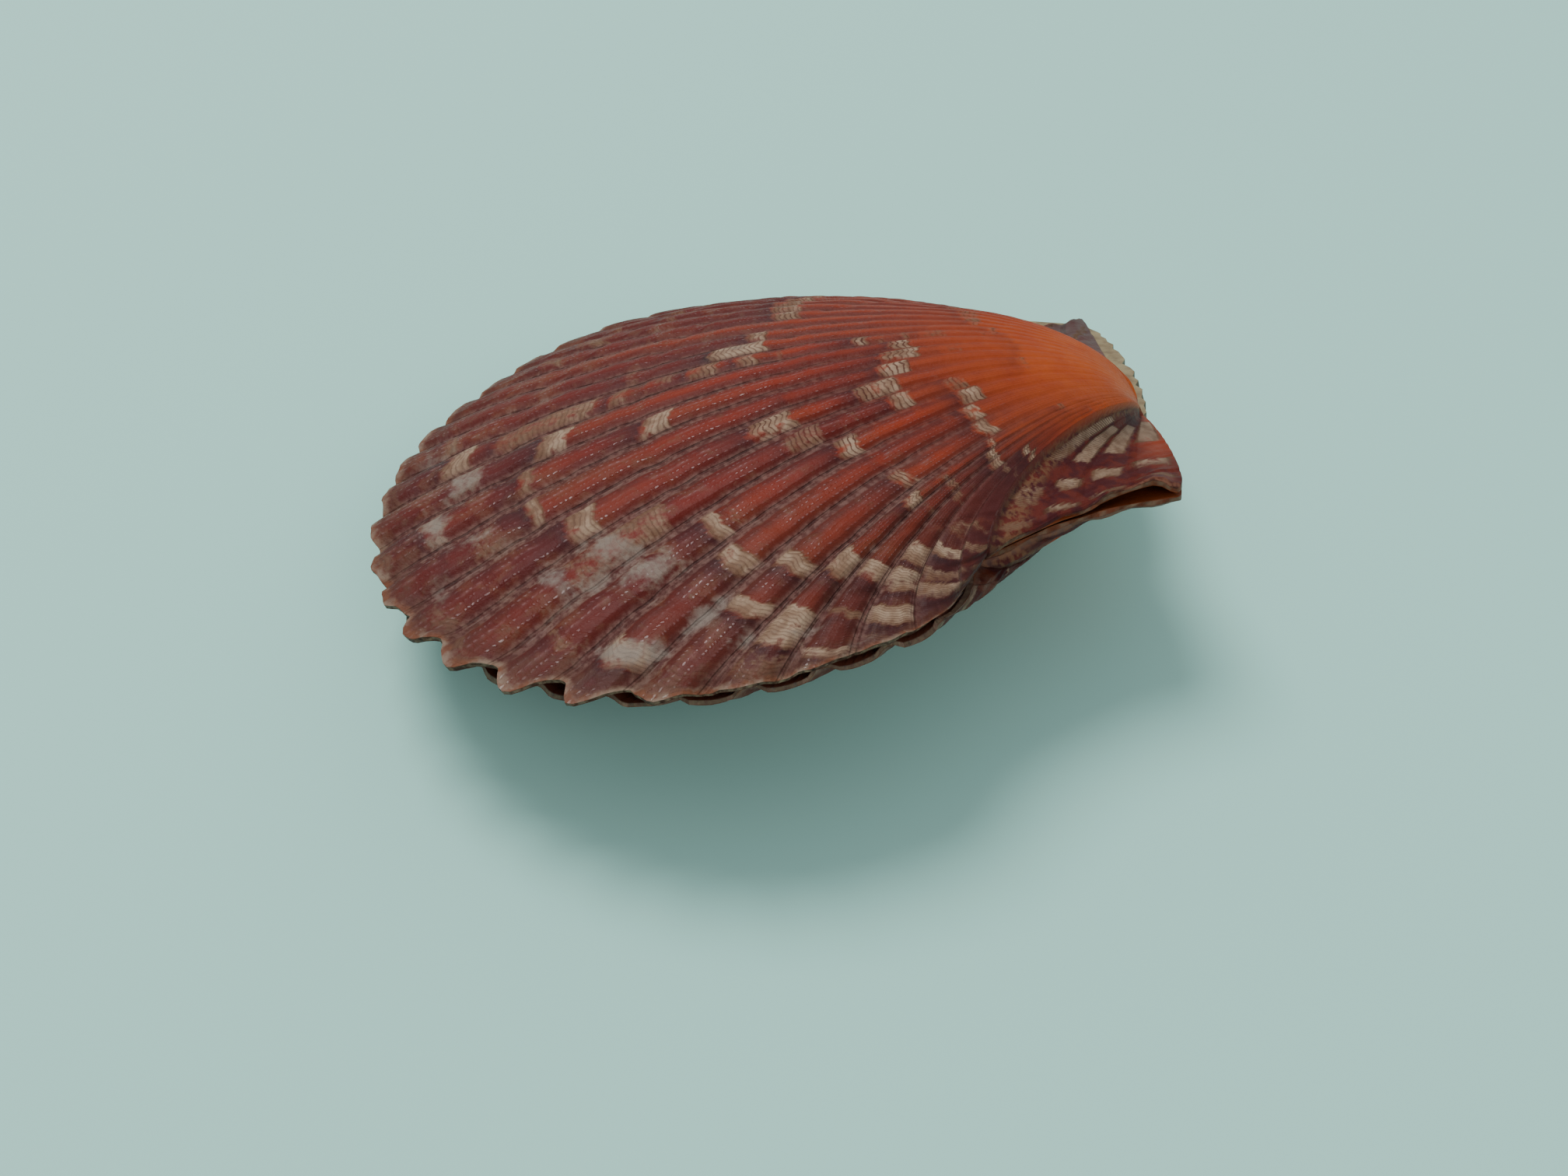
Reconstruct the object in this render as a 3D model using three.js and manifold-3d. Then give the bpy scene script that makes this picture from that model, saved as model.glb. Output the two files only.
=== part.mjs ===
// Scallop shell, Mimachlamys crassicostata: a closed pair of valves, lying on the right valve.
// Millimetres, +Z up. Z = 0 is the surface that the shell lies on, and the origin is the
// middle of its footprint.
//
// The valves are drawn in the shell's own frame: the origin is the middle of the hinge line,
// +X runs from the hinge to the lower margin, +Y along the hinge to the posterior ear, and
// +Z points to the left valve. A valve is its margin, drawn smaller and smaller as it turns
// about the hinge line, so every rib is the track of one point of the margin.

import * as THREE from 'three';
import { mergeVertices } from 'three/addons/utils/BufferGeometryUtils.js';
import Module from 'manifold-3d';

const { degToRad, lerp, smoothstep } = THREE.MathUtils;

// Driving dimensions of the disc. Shares are of the height from the hinge to the lower margin.
const HEIGHT = 74;
const CENTRE = 0.506;
const POSTERIOR_HALF = 0.493;
const ANTERIOR_HALF = 0.488;
const DISC_END = degToRad(126.8);
const DISC_END_AT_BEAK = degToRad(97);
const DISC_END_BEND = 2.3;
const FLANK_START = degToRad(80);
const FLANK_BEARING = 0.9;

// The disc leans towards its posterior side: these bend the ellipse of its margin.
const SKEW = 0.138;
const THIRD_SINE = -0.072;
const THIRD_COSINE = -0.011;
const FOURTH_SINE = 0.0255;

// It bulges a little more just before the posterior ear.
const POSTERIOR_BULGE = 0.04;
const POSTERIOR_BULGE_AT = degToRad(111);
const POSTERIOR_BULGE_HALF = degToRad(9);

// Then it draws in to the corner under that ear.
const CORNER = 0.032;
const CORNER_START = degToRad(120);
const CORNER_STOP = degToRad(128);

// The plane where the valves meet is a little twisted and wavy.
const BOW_ALONG = -0.09;
const BOW_ACROSS = 0.052;
const TWIST = -0.152;
const RIPPLE = 0.016;
const SIDE_RIPPLE = 0.0057;
const RIPPLE_START = 0.3;

// Each valve: which way it bulges, how fast it shrinks as it turns, how much slower it
// shrinks on its flanks, where its ribs stand, in ribs, and how far its rib ends dip at the
// margin. The ribs of one valve face the grooves of the other, so the margins interlock.
const LEFT = { side: 1, rate: 2.62, flank: 0.131, ribShift: 0, ribDip: 0 };
const RIGHT = { side: -1, rate: 2.07, flank: -0.75, ribShift: 0.5, ribDip: 0.15 };

// Ribs, numbered from the middle of the disc. They are evenly spaced but lean, and their lean
// changes as the valve grows: both are power series in the rib's number.
const RIB_HEIGHT = 0.9;
const RIB_SPACING = degToRad(9.35);
const RIB_LEAN = [-0.063, 0.0172, -0.00075];
const RIB_LEAN_GROWTH = [1.07, -0.0159, -0.00568];
const RIB_LEAN_SHARE = 0.65;
const FIRST_RIB = -12;
const LAST_RIB = 12;
const RIB_COLUMNS = [-0.5, -0.27, 0, 0.27];
const FLANK_COLUMNS = 4;
const RIB_FLATNESS = 3;
const RIB_FADE = 3;
const INNER_RIB_SPREAD = 12;
const RIB_DIP_SPREAD = 20;

// Walls: the margin is thin and the hinge thick. A free gap keeps the valves apart.
const EDGE_WALL = 0.45;
const HINGE_WALL = 0.75;
const DISC_WALL = 1.4;
const EDGE_WALL_SPREAD = 8;
const EDGE_GAP = 0.23;
const HINGE_GAP = 0.45;

// Ears: their length along the hinge, the number of their ribs, and their free edges.
const POSTERIOR_EAR = { end: 1, length: 17, ribs: 4, ribHeight: 0.25, sinus: 0 };
const ANTERIOR_EAR = { end: -1, length: 28.7, ribs: 5, ribHeight: 0.4, sinus: 4.2 };

// An ear leaves the disc high up on its flank, most of the way up from the plane between the
// valves, and sinks in a hollow curve towards the hinge line.
const EAR_FOOT = 0.25;
const EAR_FOOT_SPREAD = 8;
const EAR_RISE = 0.82;
const EAR_HOLLOW = 1.4;

// The notch where the byssus came out, in the free edge of the right valve's anterior ear.
const BYSSAL_NOTCH = 6.0;
const BYSSAL_NOTCH_AT = 0.26;
const BYSSAL_NOTCH_HALF = 0.17;
const BYSSAL_NOTCH_START = 0.12;

// The free edges of the posterior ears bow upwards together, and the tip of the left one is
// arched as well.
const EAR_BOW = 1;
const EAR_BOW_SPREAD = 2;
const EAR_ARCH = 1.1;
const EAR_ARCH_START = 0.4;
const EAR_ARCH_TOP = 0.85;
const EAR_ARCH_SPREAD = 5;

// The hinge edges of the ears stand out past the hinge line, but for the left anterior one.
const HINGE_SWELL = 1;
const HINGE_SWELL_START = 0.65;

// Rows of points from the margin to the beak, as shares of the full-grown size.
const OUTER_SHARES = [1, 0.92, 0.82, 0.7, 0.58, 0.46, 0.35, 0.25, 0.16, 0.09, 0.035];
const INNER_SHARES = [1, 0.9, 0.7, 0.45, 0.18];

// The ligament is a thin strip along the hinge, with a wider pad under the beaks.
const LIGAMENT_HALF_THICKNESS = 0.15;
const LIGAMENT_BACK = 0.1;
const LIGAMENT_DEPTH = 1.3;
const LIGAMENT_SHORT_OF_EAR = 2.5;
const PAD_DEPTH = 4.5;
const PAD_HALF_WIDTH = 2.6;
const PAD_NECK_HALF_WIDTH = 1.3;

// How the closed shell lies: the lower margin dips and the posterior side is raised. The
// rib tops that it lies on are worn flat, level with the surface.
const DIP = degToRad(3.51);
const ROLL = degToRad(11.51);
const HINGE_MIDDLE = new THREE.Vector3(36.432, 2.6, 15.3);

const HINGE_AXIS = new THREE.Vector3(0, 1, 0);
const NORMAL_STEP = 0.002;

// A point of the closed line where the two valves meet, at an angle round the disc.
function marginPoint(angle) {
  const half = lerp(ANTERIOR_HALF, POSTERIOR_HALF, (1 + Math.sin(angle)) / 2);
  const offBulge = (angle - POSTERIOR_BULGE_AT) / POSTERIOR_BULGE_HALF;
  const drawnIn = CORNER * smoothstep(angle, CORNER_START, CORNER_STOP);
  const reach = 1 - drawnIn + SKEW * Math.sin(2 * angle) + THIRD_SINE * Math.sin(3 * angle)
    + THIRD_COSINE * Math.cos(3 * angle) + FOURTH_SINE * Math.sin(4 * angle)
    + POSTERIOR_BULGE * Math.exp(-offBulge * offBulge);
  const x = CENTRE + reach * (1 - CENTRE) * Math.cos(angle);
  const y = reach * half * Math.sin(angle);
  const ripple = SIDE_RIPPLE * Math.sin(3 * angle) - RIPPLE * Math.cos(2 * angle);
  const z = BOW_ALONG * x * (1 - x) + BOW_ACROSS * y * y + TWIST * x * y
    + ripple * Math.min(x / RIPPLE_START, 1);
  return new THREE.Vector3(x, y, z).multiplyScalar(HEIGHT);
}

// The last track of the disc lies nearer its middle at the beak than at the margin, where the
// ears have left more room. The tracks of the flank are squeezed into what it leaves.
function discAngle(valve, angle, turn) {
  const share = Math.exp(-valve.rate * turn);
  const end = lerp(DISC_END_AT_BEAK, DISC_END, share ** DISC_END_BEND);
  const squeeze = (end - FLANK_START) / (DISC_END - FLANK_START);
  const beyond = Math.max(Math.abs(angle) - FLANK_START, 0);
  return angle - Math.sign(angle) * beyond * (1 - squeeze);
}

// How fast the track of a margin point shrinks as it turns.
function shrinkRate(valve, angle) {
  const edge = marginPoint(angle);
  const bearing = Math.atan2(edge.y, edge.x);
  return valve.rate * (1 - valve.flank * (bearing / FLANK_BEARING) ** 2);
}

// A point of the smooth disc, without its ribs and its wall.
function discPoint(valve, track, turn) {
  const angle = discAngle(valve, track, turn);
  const share = Math.exp(-shrinkRate(valve, angle) * turn);
  return marginPoint(angle).applyAxisAngle(HINGE_AXIS, -valve.side * turn).multiplyScalar(share);
}

function discNormal(valve, angle, turn) {
  const along = discPoint(valve, angle + NORMAL_STEP, turn);
  along.sub(discPoint(valve, angle - NORMAL_STEP, turn));
  const back = discPoint(valve, angle, turn + NORMAL_STEP);
  back.sub(discPoint(valve, angle, turn - NORMAL_STEP));
  return along.cross(back).normalize().multiplyScalar(valve.side);
}

// The track on which a rib of a valve lies when the valve has a share of its full size. In
// between whole numbers are the slopes and grooves.
function ribTrack(valve, number, share) {
  const growth = share - RIB_LEAN_SHARE;
  let lean = 0;
  RIB_LEAN.forEach((term, power) => {
    lean += (term + RIB_LEAN_GROWTH[power] * growth) * number ** power;
  });
  return RIB_SPACING * (number + lean + valve.ribShift);
}

// Height of a valve's ribs by rib number, from -0.5 in a groove to 0.5 on a crest. The ribs
// have broad rounded tops and narrow grooves, and die out on the flanks.
function ribProfile(number) {
  const offCrest = 2 * Math.abs(number - Math.round(number));
  const fade = smoothstep(number, FIRST_RIB - 1, FIRST_RIB - 1 + RIB_FADE)
    * (1 - smoothstep(number, LAST_RIB + 1 - RIB_FADE, LAST_RIB + 1));
  return fade * (0.5 - offCrest ** RIB_FLATNESS);
}

// The walls and the gap between the valves change from the margin, at 1, to the hinge, at 0.
function innerLift(share) {
  return lerp(HINGE_GAP, EDGE_GAP, share);
}

function outerLift(share) {
  return innerLift(share) + lerp(HINGE_WALL, EDGE_WALL, share);
}

// A point of the disc's wall: the outer skin carries the ribs, and the inner skin is smooth
// but for the last stretch before the margin.
function discSkinPoint(valve, track, profile, turn, outside) {
  const share = Math.exp(-shrinkRate(valve, track) * turn);
  const ribs = RIB_HEIGHT * share * profile;
  const wall = lerp(DISC_WALL, EDGE_WALL, share ** EDGE_WALL_SPREAD);
  const height = outside ? ribs : ribs * share ** INNER_RIB_SPREAD - wall;
  const point = discPoint(valve, track, turn);
  point.addScaledVector(discNormal(valve, track, turn), height);
  const dip = valve.ribDip * 2 * Math.max(profile, 0) * share ** RIB_DIP_SPREAD;
  point.z += valve.side * (outerLift(share) + dip);
  return point;
}

// The free edge of an ear, from the disc, at 0, to the tip on the hinge line, at 1. The
// anterior ear of the right valve has a deep notch for the byssus, and the others a shallow
// sinus.
function earEdge(valve, ear, across) {
  const foot = marginPoint(ear.end * DISC_END);
  const point = foot.clone().multiplyScalar(1 - across);
  point.y += ear.end * ear.length * across;
  let pull = ear.sinus * 4 * across * (1 - across);
  if (valve === RIGHT && ear === ANTERIOR_EAR) {
    const off = (across - BYSSAL_NOTCH_AT) / BYSSAL_NOTCH_HALF;
    pull = BYSSAL_NOTCH * Math.exp(-off * off) * smoothstep(across, 0, BYSSAL_NOTCH_START);
  }
  return point.multiplyScalar(1 - pull / point.length());
}

// The line where an ear leaves the disc lies just outside and below the disc's last track.
function earFoot(valve, ear, turn) {
  const angle = ear.end * DISC_END;
  const share = Math.exp(-shrinkRate(valve, angle) * turn);
  const point = discPoint(valve, angle, turn);
  const outwards = new THREE.Vector3(-point.y, point.x, 0).normalize();
  point.addScaledVector(outwards, ear.end * EAR_FOOT * share * (1 - share ** EAR_FOOT_SPREAD));
  point.z = lerp(marginPoint(angle).z * share, point.z, EAR_RISE);
  return point;
}

function earPoint(valve, ear, across, turn, outside) {
  const share = Math.exp(-shrinkRate(valve, ear.end * DISC_END) * turn);
  const point = earEdge(valve, ear, across).multiplyScalar(share);
  const shift = earFoot(valve, ear, turn).sub(earEdge(valve, ear, 0).multiplyScalar(share));
  point.addScaledVector(shift, 1 - across);
  point.z += ((1 - across) ** EAR_HOLLOW - (1 - across)) * shift.z;
  const openness = (1 - across) * share;
  let lift = outside ? outerLift(openness) : innerLift(openness);
  if (outside) {
    const rib = (1 - Math.cos(2 * Math.PI * ear.ribs * across)) / 2;
    lift += ear.ribHeight * rib * share;
  }
  if (ear === POSTERIOR_EAR) {
    point.z += EAR_BOW * 4 * across * (1 - across) * share ** EAR_BOW_SPREAD;
  }
  if (valve === LEFT && ear === POSTERIOR_EAR) {
    const arch = smoothstep(across, EAR_ARCH_START, EAR_ARCH_TOP)
      * (1 - smoothstep(across, EAR_ARCH_TOP, 1));
    lift += EAR_ARCH * arch * share ** EAR_ARCH_SPREAD;
  }
  if (valve === RIGHT || ear === POSTERIOR_EAR) {
    const swell = smoothstep(across, HINGE_SWELL_START, 1) * Math.sqrt(Math.sin(Math.PI * share));
    point.x -= HINGE_SWELL * swell;
  }
  point.z += valve.side * lift;
  return point;
}

// The columns of a valve, from the anterior ear's tip round the disc to the posterior ear's
// tip. Each gives its outer and inner points at a turn.
function valveColumns(valve) {
  const columns = [];
  const addEar = (ear, across) => columns.push({
    outer: (turn) => earPoint(valve, ear, across, turn, true),
    inner: (turn) => earPoint(valve, ear, across, turn, false),
  });
  const addDisc = (trackAt, profile) => {
    const point = (turn, outside) => {
      const track = trackAt(Math.exp(-valve.rate * turn));
      return discSkinPoint(valve, track, profile, turn, outside);
    };
    columns.push({ outer: (turn) => point(turn, true), inner: (turn) => point(turn, false) });
  };
  const addFlank = (end, groove, across) => {
    addDisc((share) => lerp(end, ribTrack(valve, groove, share), across), 0);
  };
  for (let i = 2 * ANTERIOR_EAR.ribs; i >= 0; i -= 1) {
    addEar(ANTERIOR_EAR, i / (2 * ANTERIOR_EAR.ribs));
  }
  for (let i = 0; i < FLANK_COLUMNS; i += 1) {
    addFlank(-DISC_END, FIRST_RIB - 0.5, i / FLANK_COLUMNS);
  }
  for (let rib = FIRST_RIB; rib <= LAST_RIB; rib += 1) {
    for (const offset of RIB_COLUMNS) {
      const number = rib + offset;
      addDisc((share) => ribTrack(valve, number, share), ribProfile(number));
    }
  }
  for (let i = FLANK_COLUMNS; i >= 0; i -= 1) {
    addFlank(DISC_END, LAST_RIB + 0.5, i / FLANK_COLUMNS);
  }
  for (let i = 0; i <= 2 * POSTERIOR_EAR.ribs; i += 1) {
    addEar(POSTERIOR_EAR, i / (2 * POSTERIOR_EAR.ribs));
  }
  return columns;
}

// Triangles between two runs of points. They face the viewer who sees the first run below
// the second, both going from left to right.
function strip(faces, low, high) {
  let i = 0;
  let j = 0;
  while (i < low.length - 1 || j < high.length - 1) {
    const nextLow = (i + 1) / (low.length - 1);
    const nextHigh = (j + 1) / (high.length - 1);
    if (j === high.length - 1 || (i < low.length - 1 && nextLow <= nextHigh)) {
      faces.push(low[i], low[i + 1], high[j]);
      i += 1;
    } else {
      faces.push(low[i], high[j + 1], high[j]);
      j += 1;
    }
  }
}

// One valve: the outer skin closes at the beak, the inner skin at the middle of the hinge,
// and strips join them round the margin and along the hinge.
function valveGeometry(valve) {
  const points = [];
  const faces = [];
  const addPoint = (point) => points.push(point.x, point.y, point.z) / 3 - 1;
  const columns = valveColumns(valve);
  const rows = (skin, shares) => shares.map((share) => {
    const turn = -Math.log(share) / valve.rate;
    return columns.map((column) => addPoint(column[skin](turn)));
  });
  const outer = rows('outer', OUTER_SHARES);
  const inner = rows('inner', INNER_SHARES);

  const lastRow = outer.at(-1);
  const beakPoint = new THREE.Vector3();
  lastRow.forEach((index) => beakPoint.add(new THREE.Vector3().fromArray(points, 3 * index)));
  const beak = addPoint(beakPoint.divideScalar(lastRow.length));
  const hinge = addPoint(new THREE.Vector3(0, 0, valve.side * HINGE_GAP));

  outer.forEach((row, i) => strip(faces, row, outer[i + 1] ?? [beak]));
  inner.forEach((row, i) => strip(faces, inner[i + 1] ?? [hinge], row));
  strip(faces, inner[0], outer[0]);
  const first = 0;
  const last = columns.length - 1;
  const hingeLine = (skin, end, column) => [...skin.map((row) => row[column]), end];
  strip(faces, hingeLine(inner, hinge, last), hingeLine(outer, beak, last));
  strip(faces, hingeLine(inner, hinge, first).reverse(), hingeLine(outer, beak, first).reverse());
  if (valve.side < 0) faces.reverse();

  const geometry = new THREE.BufferGeometry();
  geometry.setAttribute('position', new THREE.Float32BufferAttribute(points, 3));
  geometry.setIndex(faces);
  return geometry;
}

// The strip of ligament, with its pad under the beaks.
function ligamentGeometry() {
  const back = -LIGAMENT_BACK;
  const front = LIGAMENT_DEPTH;
  const anterior = LIGAMENT_SHORT_OF_EAR - ANTERIOR_EAR.length;
  const posterior = POSTERIOR_EAR.length - LIGAMENT_SHORT_OF_EAR;
  const outline = new THREE.Shape();
  outline.moveTo(back, anterior);
  outline.lineTo(front / 2, anterior);
  outline.lineTo(front, anterior / 2);
  outline.lineTo(front, -PAD_NECK_HALF_WIDTH);
  outline.lineTo(PAD_DEPTH, -PAD_HALF_WIDTH);
  outline.lineTo(PAD_DEPTH, PAD_HALF_WIDTH);
  outline.lineTo(front, PAD_NECK_HALF_WIDTH);
  outline.lineTo(front, posterior / 2);
  outline.lineTo(front / 2, posterior);
  outline.lineTo(back, posterior);
  const depth = 2 * LIGAMENT_HALF_THICKNESS;
  const geometry = new THREE.ExtrudeGeometry(outline, { depth, bevelEnabled: false });
  return geometry.translate(0, 0, -LIGAMENT_HALF_THICKNESS);
}

const shell = new THREE.Group();
shell.rotation.set(ROLL, DIP, Math.PI, 'ZYX');
shell.position.copy(HINGE_MIDDLE);
shell.updateMatrix();

const wasm = await Module();
wasm.setup();

function solidOf(geometry) {
  const bare = new THREE.BufferGeometry();
  bare.setAttribute('position', geometry.getAttribute('position'));
  bare.setIndex(geometry.index);
  const merged = mergeVertices(bare);
  return new wasm.Manifold(new wasm.Mesh({
    numProp: 3,
    vertProperties: merged.attributes.position.array,
    triVerts: new Uint32Array(merged.index.array),
  }));
}

function geometryOf(solid) {
  const mesh = solid.getMesh();
  const geometry = new THREE.BufferGeometry();
  geometry.setAttribute('position', new THREE.Float32BufferAttribute(mesh.vertProperties, 3));
  geometry.setIndex(new THREE.Uint32BufferAttribute(mesh.triVerts, 1));
  return geometry;
}

// The right valve's lowest rib tops are worn flat where they touch the surface.
function wornRightValve() {
  const size = 3 * HEIGHT;
  const below = new THREE.BoxGeometry(size, size, size).translate(0, 0, -size / 2);
  below.applyMatrix4(shell.matrix.clone().invert());
  return geometryOf(solidOf(valveGeometry(RIGHT)).subtract(solidOf(below)));
}

const leftFinish = new THREE.MeshStandardMaterial({ color: 0x8c3422, roughness: 0.45, metalness: 0 });
const rightFinish = new THREE.MeshStandardMaterial({ color: 0x7c3a2a, roughness: 0.5, metalness: 0 });
const ligamentFinish = new THREE.MeshStandardMaterial({ color: 0x2e1c10, roughness: 0.7, metalness: 0 });

function addPiece(name, geometry, material) {
  const mesh = new THREE.Mesh(geometry, material);
  mesh.name = name;
  shell.add(mesh);
}

addPiece('left_valve', valveGeometry(LEFT), leftFinish);
addPiece('right_valve', wornRightValve(), rightFinish);
addPiece('ligament', ligamentGeometry(), ligamentFinish);

const part = new THREE.Group();
part.add(shell);

export default part;
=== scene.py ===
import math
import random

import bmesh
import bpy
import numpy as np
from mathutils import Matrix, Vector


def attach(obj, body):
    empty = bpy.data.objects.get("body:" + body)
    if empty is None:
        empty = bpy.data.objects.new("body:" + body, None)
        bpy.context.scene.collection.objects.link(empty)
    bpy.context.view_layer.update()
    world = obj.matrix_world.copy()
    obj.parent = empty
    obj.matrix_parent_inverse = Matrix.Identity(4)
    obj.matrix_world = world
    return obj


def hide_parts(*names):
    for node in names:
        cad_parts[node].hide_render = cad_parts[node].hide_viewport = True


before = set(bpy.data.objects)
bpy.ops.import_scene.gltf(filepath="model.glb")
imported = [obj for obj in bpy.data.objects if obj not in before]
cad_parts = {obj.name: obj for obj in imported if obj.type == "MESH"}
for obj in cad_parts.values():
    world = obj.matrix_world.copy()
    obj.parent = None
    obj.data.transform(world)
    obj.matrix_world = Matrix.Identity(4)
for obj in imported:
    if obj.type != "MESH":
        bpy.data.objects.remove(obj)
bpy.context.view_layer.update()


# Left valve: the upper half of the closed shell, with its two ears. It grew as one piece of
# calcite round its margin, so every part of it is the margin drawn smaller and turned about
# the hinge line. It is modelled in millimetres from the middle of the hinge, then laid down.

# The line where the valves meet, in shares of the height from the hinge to the lower margin: a
# leaning oval, with a bulge and then a drawn-in corner before the posterior ear, a little bowed.
HEIGHT = 74.0
CENTRE, POSTERIOR_HALF, ANTERIOR_HALF = 0.506, 0.493, 0.488
DISC_END, DISC_END_AT_BEAK, FLANK_START = np.radians((126.8, 97.0, 80.0))
DISC_END_BEND = 2.3
FLANK_BEARING = 0.9
SKEW, THIRD_SINE, THIRD_COSINE, FOURTH_SINE = 0.138, -0.072, -0.011, 0.0255
BULGE, BULGE_AT, BULGE_HALF = 0.04, np.radians(111), np.radians(9)
CORNER, CORNER_START, CORNER_STOP = 0.032, np.radians(120), np.radians(128)
BOW_ALONG, BOW_ACROSS, TWIST = -0.09, 0.052, -0.152
RIPPLE, SIDE_RIPPLE, RIPPLE_START = 0.016, 0.0057, 0.3

# A valve: which way it bulges; how fast it shrinks as it turns, and how much slower on its
# flanks; where its ribs stand, in ribs; how far its rib ends dip, in millimetres; how far they
# swing in and out, and how far its front lips reach out or stay back, in shares of its size;
# and how far those lips are raised, in millimetres.
LEFT = {"side": 1, "rate": 2.62, "flank": 0.131, "shift": 0.0, "dip": 0.0,
        "wave": 0.013, "reach": 0.011, "back": 0.0, "mouth": 0.75}
LEAST_FACING = 0.05

# Ribs are numbered from the middle of the disc towards the posterior ear. They have a round
# crest and steep sides, and a thread in each groove.
RIB_HEIGHT = 0.9
RIB_SPACING = math.radians(9.35)
RIB_LEAN, RIB_LEAN_GROWTH = (-0.063, 0.0172, -0.00075), (1.07, -0.0159, -0.00568)
RIB_LEAN_SHARE = 0.65
FIRST_RIB, LAST_RIB, FIRST_FADE, LAST_FADE = -12, 12, 3, 4.3
RIB_CREST, RIB_SIDE, RIB_SIDE_START, RIB_SIDE_STOP = 0.48, 0.52, 0.48, 0.88
THREAD, THREAD_HALF = 0.15, 0.07

# They are lower near the beak, on the inner half of the posterior flank, and towards the
# anterior margin. Growth steps and rings run across them. The left umbo is a little fuller.
YOUNG_RIBS, YOUNG_SHARE = 0.3, (0.08, 0.5)
POSTERIOR_FAINT, POSTERIOR_FAINT_RIBS, POSTERIOR_FAINT_SHARE = 0.65, (5, 9), (0.35, 0.75)
ANTERIOR_FAINT, ANTERIOR_FAINT_RIBS, ANTERIOR_FAINT_SHARE = 0.45, (-5, 0), (0.6, 1)
RIB_UNEVENNESS, BROAD_STEPS, FINE_STEPS = 0.10, 0.08, 0.05
RING_DEPTH, RING_START, RING_PACE = 0.17, 0.8, 31
UMBO_SWELL, UMBO_RISE, UMBO_FALL = 0.6, (0.02, 0.12), (0.2, 0.45)

# The margin: the ribs over which its lips begin and end, how little it waves elsewhere, and the
# powers of the share of full size with which each of its forms dies out inwards.
FRONT_RIBS, LIP_END_RIBS, MOUTH_END_RIBS, BACK_END_RIBS = (1.8, 5), (9, 12), (6, 9), (6, 9)
SMOOTH_LOWER_RIBS = 4, 7
ANTERIOR_WAVE, POSTERIOR_BACK = 0.08, 0.25
WAVE_UNEVENNESS, MOUTH_UNEVENNESS, CHIPS, FINE_CHIPS = 0.5, 0.4, 0.0018, 0.0016
WAVE_FALL, LIP_FALL, CHIP_FALL, DIP_FALL, INNER_RIB_FALL, WALL_FALL = 28, 40, 60, 20, 12, 8

# The wall, and from each valve half of the gap between them, in millimetres.
EDGE_WALL, HINGE_WALL, DISC_WALL = 0.45, 0.75, 1.4
EDGE_GAP, HINGE_GAP = 0.03, 0.2

# Ears, in millimetres: length along the hinge, ribs, the hollow of the free edge, and how far
# the hinge edge stands out. The notch and the frill are the right valve's.
POSTERIOR_EAR = {"end": 1, "length": 17, "ribs": 4, "rib_height": 0.25, "sinus": 0.2,
                 "swell": 1.0}
ANTERIOR_EAR = {"end": -1, "length": 28.7, "ribs": 5, "rib_height": 0.4, "sinus": 4.2,
                "swell": 1.9}
FIRST_EAR_RIB = 20
EAR_FOOT, EAR_FOOT_SPREAD, EAR_RISE, EAR_HOLLOW = 0.25, 8, 0.82, 1.4
EAR_WALL, EAR_WALL_FALL, EAR_CHIPS = 0.28, 12, 0.245
EAR_INSET_ALONG, EAR_INSET_ASIDE, EAR_INSET_FALL = 0.55, 0.935, 20
EAR_RING_DEPTH, EAR_RING_START, EAR_RING_PACE, EAR_STEPS = 0.12, 0.7, 34, 0.07
EAR_BOW, EAR_ARCH, EAR_ARCH_START, EAR_ARCH_TOP, EAR_ARCH_FALL = 1.0, 1.1, 0.45, 0.85, 5
NOTCH, NOTCH_AT, NOTCH_HALF, NOTCH_START = 6.0, 0.26, 0.17, 0.12
SWELL_START = 0.65
FRILL, FRILL_START, FRILL_SCALES, FRILL_CROWDING, FRILL_UNEVENNESS = 0.8, 0.86, 13, 0.8, 2

# How the shell lies: on its right valve, with the posterior side raised.
DIP, ROLL = math.radians(3.51), math.radians(11.51)
HINGE_MIDDLE = Vector((36.432, 2.6, 15.3))
LAID = (Matrix.Scale(0.001, 4) @ Matrix.Translation(HINGE_MIDDLE)
        @ Matrix.Rotation(math.pi, 4, "Z") @ Matrix.Rotation(DIP, 4, "Y")
        @ Matrix.Rotation(ROLL, 4, "X"))


def ease(value, low, high):
    t = np.clip((value - low) / (high - low), 0, 1)
    return t * t * (3 - 2 * t)


def blend(a, b, share):
    return a + (b - a) * share


def ripples(a, b, seed, turns=7):
    """Slow, repeatable unevenness, about -1 to 1, over two measures of the surface."""
    draw = random.Random(seed)
    total = 0
    for _ in range(turns):
        swing = a * draw.uniform(-1, 1) + b * draw.uniform(-1, 1) + draw.uniform(0, 6.28)
        total = total + np.sin(swing)
    return total / turns ** 0.5


def margin_points(angle):
    """The line where the valves meet, at angles round the disc."""
    half = blend(ANTERIOR_HALF, POSTERIOR_HALF, (1 + np.sin(angle)) / 2)
    drawn_in = CORNER * ease(angle, CORNER_START, CORNER_STOP)
    reach = (1 - drawn_in + SKEW * np.sin(2 * angle) + THIRD_SINE * np.sin(3 * angle)
             + THIRD_COSINE * np.cos(3 * angle) + FOURTH_SINE * np.sin(4 * angle)
             + BULGE * np.exp(-((angle - BULGE_AT) / BULGE_HALF) ** 2))
    x = CENTRE + reach * (1 - CENTRE) * np.cos(angle)
    y = reach * half * np.sin(angle)
    ripple = SIDE_RIPPLE * np.sin(3 * angle) - RIPPLE * np.cos(2 * angle)
    z = (BOW_ALONG * x * (1 - x) + BOW_ACROSS * y * y + TWIST * x * y
         + ripple * np.minimum(x / RIPPLE_START, 1))
    return HEIGHT * np.stack([x, y, z], -1)


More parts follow.
